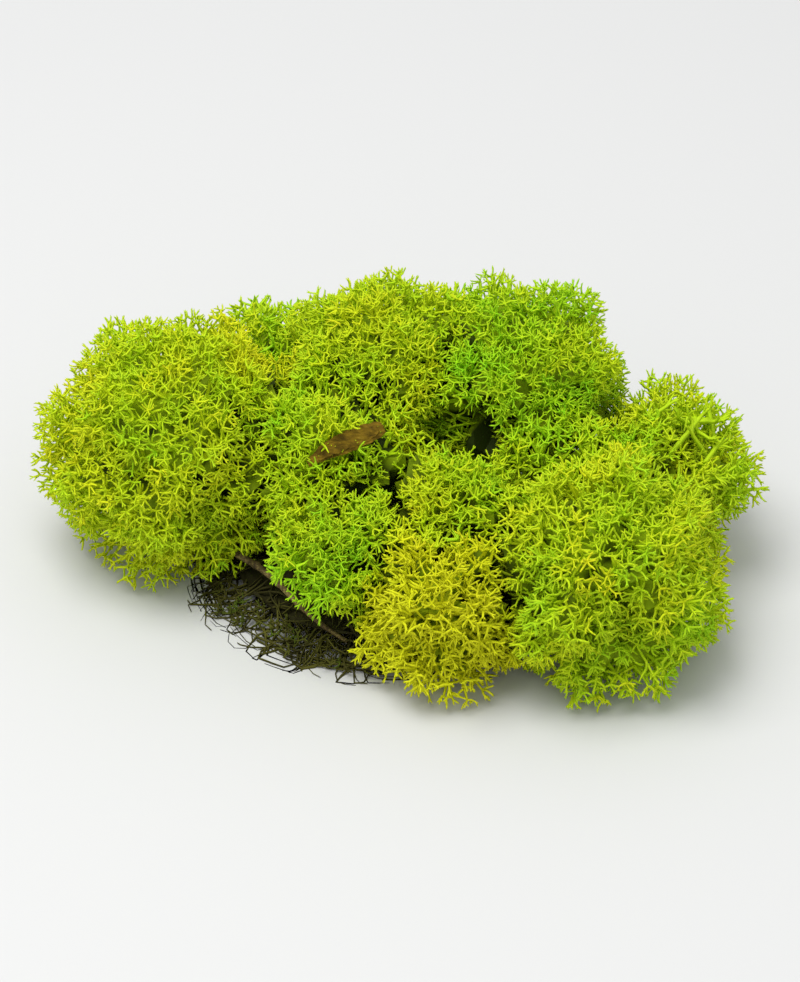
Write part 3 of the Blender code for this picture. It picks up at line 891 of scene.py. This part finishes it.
def dead_sprigs(seeded):
    """Old sprigs that lie about on the open side of the pad, one part each."""
    parts = []
    for number in range(DEAD_SPRIGS):
        points, faces = sprigs[number % SPRIG_KINDS]
        around = seeded.uniform(*DEAD_AROUND)
        share = seeded.uniform(*DEAD_OUT)
        x, y = on_mat(share, around)
        height = mat_top(x, y) * (1 - DEAD_DROP * share ** 3) + DEAD_PAST
        spot = np.array((x, y, max(height, DEAD_LEAST)))
        along, across = beside_twig(spot)[:2]
        if (abs(along) < TWIG.length / 2 + DEAD_TWIG_GAP[0]
                and abs(across) < TWIG.width / 2 + DEAD_TWIG_GAP[1]):
            continue
        lean = np.array([(x / DEAD_LEAN, y / DEAD_LEAN, DEAD_UPWARD)])
        axis = unit(lean + seeded.normal(0, DEAD_STRAY, (1, 3)))
        aside = unit(np.cross(axis, seeded.normal(0, 1, (1, 3))))
        turned = np.stack([aside[0], np.cross(axis, aside)[0], axis[0]], 1)
        spots = spot + points @ turned.T * seeded.uniform(*DEAD_SIZES)
        spots[:, 2] = np.maximum(spots[:, 2], DEAD_FLOOR)
        tone = np.full(len(points), seeded.uniform(*DEAD_TONES))
        parts.append(Part(spots, faces, tone, np.full(len(points), DEAD_DEPTH), True))
    return parts


def mat_core(seeded):
    """The close-packed inside of the pad, flat where the clump rests and darkened as painted shade."""
    ways, faces = faceted_ball()
    x, y = ways[:, 0] * STEMS_REACH[0] * MAT_CORE, ways[:, 1] * STEMS_REACH[1] * MAT_CORE
    low = mat_under(np.hypot(ways[:, 0], ways[:, 1])) + MAT_CORE_GAPS[0]
    high = mat_top(x, y) - MAT_CORE_GAPS[1]
    z = low + (high - low) * (ways[:, 2] + 1) / 2 + seeded.normal(0, MAT_CORE_ROUGH, len(x))
    z = np.where(ways[:, 2] < MAT_CORE_FLAT, 0.0, np.maximum(z, 0.0))
    # Painted shade on the pad's inside.
    tone, depth = np.full(len(x), MAT_CORE_TONE), np.full(len(x), MAT_CORE_PAINTED_SHADE)
    return Part(np.stack([x, y, z], 1), [faces], tone, depth, False)


material, shader = new_material("moss_old_dead_painted_shade", Roughness=0.85, Specular_IOR_Level=0.2)
place = shader.node("ShaderNodeUVMap", {"uv_map": "OFBake"})
tone_and_depth = shader.node("ShaderNodeSeparateXYZ", Vector=place)
colour = shader.node("ShaderNodeValToRGB", {"stops": STEM_COLOURS}, Fac=tone_and_depth["X"])
# Painted shade laid over the stems' colours.
dark = shader.node("ShaderNodeMix", {"data_type": "RGBA"}, Factor=tone_and_depth["Y"] * STEM_PAINTED_SHADE_SHARE,
                   _6=colour, _7=STEM_PAINTED_SHADE)
shader.feed(Base_Color=dark[2])

seeded = np.random.default_rng(STEM_SEED)
parts = [matted_stems(seeded), *dead_sprigs(seeded), mat_core(seeded)]
piece = add_piece("old_stems_mat", parts, material)
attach(piece, "root")
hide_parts("old_stems")

# Bark flake.
# A flake of conifer bark that fell on the moss: thin golden-brown scales stuck on one another,
# a little curled, torn to a point at one end and broken at the other.
BarkLayer = namedtuple("BarkLayer", "length width thick forward aside height curl")
BARK_LAYERS = (
    BarkLayer(18.4, 4.4, 0.55, 0.0, 0.0, -0.20, 0.70),
    BarkLayer(13.2, 3.5, 0.40, 1.2, 0.15, 0.20, 0.60),
    BarkLayer(7.6, 2.5, 0.35, -3.0, -0.30, 0.45, 0.45),
)
BARK_GRID, BARK_SHARP_DEG = (44, 10), 50
# How the sides draw in to the broken end and the torn end, and how the torn end bends away.
BROKEN_TAPER, BROKEN_POWER, TORN_TAPER, TORN_POWER = 0.40, 3, 0.72, 1.6
TORN_BEND, TORN_FROM = 1.5, 0.2
ARCH = 0.35
# How strong each unevenness is and how fine, and how far apart the scales read their noise.
RAGGED, SPLINTERED, END_RAGGED = (0.20, 4.5), (0.10, 14), (0.06, 3)
WAVE, WAVE_FINE = 0.30, (2.2, 1.4)
RAGGED_SHIFT, END_SHIFT, WAVE_SHIFT = 7, 20.0, 5.0
BARK_ROUGH = ((0.10, 2.2), (0.06, 6.0))
STREAK_SHARE = 0.6
BARK_COLOURS = ((0.34, (0.036, 0.021, 0.002)), (0.46, (0.115, 0.070, 0.004)),
                (0.58, (0.22, 0.135, 0.008)), (0.70, (0.35, 0.24, 0.03)))


def shape_bark_layer(number, layer, vertices):
    """Turns a flat square grid into one curled scale of bark with ragged sides."""
    for vertex in vertices:
        x, y = vertex.co.x * 2, vertex.co.y * 2
        taper = 1 - BROKEN_TAPER * max(x, 0) ** BROKEN_POWER - TORN_TAPER * max(-x, 0) ** TORN_POWER
        ragged = (RAGGED[0] * noise.noise(Vector((x * RAGGED[1], number * RAGGED_SHIFT + y, 0)))
                  + SPLINTERED[0] * noise.noise(Vector((x * SPLINTERED[1], number, y))))
        end = 1 + END_RAGGED[0] * noise.noise(Vector((y * END_RAGGED[1], x, number + END_SHIFT)))
        wave = WAVE * noise.noise(Vector((x * WAVE_FINE[0], y * WAVE_FINE[1], number * WAVE_SHIFT)))
        bend = -TORN_BEND * max(-x - TORN_FROM, 0) ** 2
        vertex.co = (x * layer.length / 2 * end,
                     y * layer.width / 2 * (taper + ragged * abs(y)) + bend,
                     layer.height - layer.curl / 2 * y * y * taper - ARCH * x * x + wave)


material, shader = new_material("bark_scales", Roughness=0.9, Specular_IOR_Level=0.15)
place = shader.node("ShaderNodeTexCoord")["Object"]
grain = shader.node("ShaderNodeMapping", Vector=place, Scale=(0.3, 1.0, 1.0), Rotation=(0, 0, -0.5))
streaks = shader.node("ShaderNodeTexNoise", Vector=grain, Scale=1400.0, Detail=6.0, Roughness=0.65)["Fac"]
patches = shader.node("ShaderNodeTexNoise", Vector=place, Scale=260.0, Detail=3.0)["Fac"]
mottling = streaks * STREAK_SHARE + patches * (1 - STREAK_SHARE)
colour = shader.node("ShaderNodeValToRGB", {"stops": BARK_COLOURS}, Fac=mottling)
bumps = shader.node("ShaderNodeBump", Strength=0.6, Distance=0.0003, Height=streaks)
shader.feed(Base_Color=colour, Normal=bumps)

layers = []
for number, layer in enumerate(BARK_LAYERS):
    bpy.ops.object.select_all(action="DESELECT")
    bpy.ops.mesh.primitive_grid_add(x_subdivisions=BARK_GRID[0], y_subdivisions=BARK_GRID[1], size=1)
    scale = bpy.context.object
    shape_bark_layer(number, layer, scale.data.vertices)
    scale.modifiers.new("thick", "SOLIDIFY").thickness = layer.thick
    scale.modifiers["thick"].offset = 0
    bpy.ops.object.modifier_apply(modifier="thick")
    for vertex in scale.data.vertices:
        vertex.co.z += sum(high * noise.noise(vertex.co * fine) for high, fine in BARK_ROUGH)
        vertex.co.x += layer.forward
        vertex.co.y += layer.aside
    layers.append(scale)
bpy.ops.object.select_all(action="DESELECT")
for scale in layers:
    scale.select_set(True)
bpy.context.view_layer.objects.active = layers[0]
bpy.ops.object.join()
bark = bpy.context.object
bark.name = "bark_flake"
turned = Matrix(litter_frame(BARK)).transposed().to_4x4()
bark.data.transform(Matrix.Scale(MM, 4) @ Matrix.Translation(BARK.middle) @ turned)
bark.data.materials.append(material)
bpy.ops.object.shade_smooth_by_angle(angle=radians(BARK_SHARP_DEG))
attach(bark, "root")
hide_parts("bark_scrap")

# Twig.
# A dry twig of dwarf shrub, caught in the hollow at the front: dark brown bark that wrinkled
# as it dried, with the knuckles where side shoots broke off.
TWIG_THICK, TWIG_THINNING = 1.6, 0.45
TWIG_STEPS, TWIG_SIDES = 60, 3
TWIG_END_GAP = 1.5
TWIG_SWAY, TWIG_SWAYS, TWIG_SWAY_START = 0.88, 0.9, 0.4
TWIG_ARCH, TWIG_SEAT = 0.7, 0.2
# The knuckles: where along the twig, and how much thicker.
TWIG_KNOTS, KNOT_LENGTH = ((0.16, 0.34), (0.37, 0.26), (0.58, 0.30), (0.80, 0.24)), 0.018
TWIG_WRINKLES = ((0.00006, 2500), (0.00008, 700))
WRINKLE_SHARE = 0.55
TWIG_COLOURS = ((0.34, (0.020, 0.014, 0.004)), (0.46, (0.09, 0.062, 0.018)),
                (0.58, (0.24, 0.18, 0.055)), (0.70, (0.44, 0.38, 0.13)))

along, across, up = litter_frame(TWIG)
curve = bpy.data.curves.new("twig", "CURVE")
curve.dimensions = "3D"
curve.bevel_depth = 1.0
curve.bevel_resolution = TWIG_SIDES
curve.use_fill_caps = True
spline = curve.splines.new("POLY")
spline.points.add(TWIG_STEPS - 1)
for step, point in enumerate(spline.points):
    share = step / (TWIG_STEPS - 1)
    onward = (share - 0.5) * (TWIG.length - TWIG_END_GAP)
    aside = TWIG_SWAY * sin(2 * pi * share * TWIG_SWAYS + TWIG_SWAY_START)
    high = TWIG_ARCH * (1 - (2 * share - 1) ** 2) - TWIG_SEAT
    swell = sum(size * np.exp(-((share - place) / KNOT_LENGTH) ** 2) for place, size in TWIG_KNOTS)
    point.co = (*((TWIG.middle + along * onward + across * aside + up * high) * MM), 1)
    point.radius = TWIG_THICK / 2 * (1 - TWIG_THINNING * share) * (1 + swell) * MM
twig = bpy.data.objects.new("twig_bark", curve)
bpy.context.scene.collection.objects.link(twig)
bpy.ops.object.select_all(action="DESELECT")
twig.select_set(True)
bpy.context.view_layer.objects.active = twig
bpy.ops.object.convert(target="MESH")
twig = bpy.context.object
for vertex in twig.data.vertices:
    vertex.co += vertex.normal * sum(deep * noise.noise(vertex.co * fine) for deep, fine in TWIG_WRINKLES)

material, shader = new_material("twig_dry_bark", Roughness=0.75, Specular_IOR_Level=0.25)
place = shader.node("ShaderNodeTexCoord")["Object"]
wrinkles = shader.node("ShaderNodeTexNoise", Vector=place, Scale=1800.0, Detail=6.0, Roughness=0.6)["Fac"]
patches = shader.node("ShaderNodeTexNoise", Vector=place, Scale=240.0, Detail=3.0)["Fac"]
mottling = wrinkles * WRINKLE_SHARE + patches * (1 - WRINKLE_SHARE)
colour = shader.node("ShaderNodeValToRGB", {"stops": TWIG_COLOURS}, Fac=mottling)
bumps = shader.node("ShaderNodeBump", Strength=0.6, Distance=0.0002, Height=wrinkles)
shader.feed(Base_Color=colour, Normal=bumps)
twig.data.materials.append(material)
bpy.ops.object.shade_smooth()
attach(twig, "root")
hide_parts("twig")
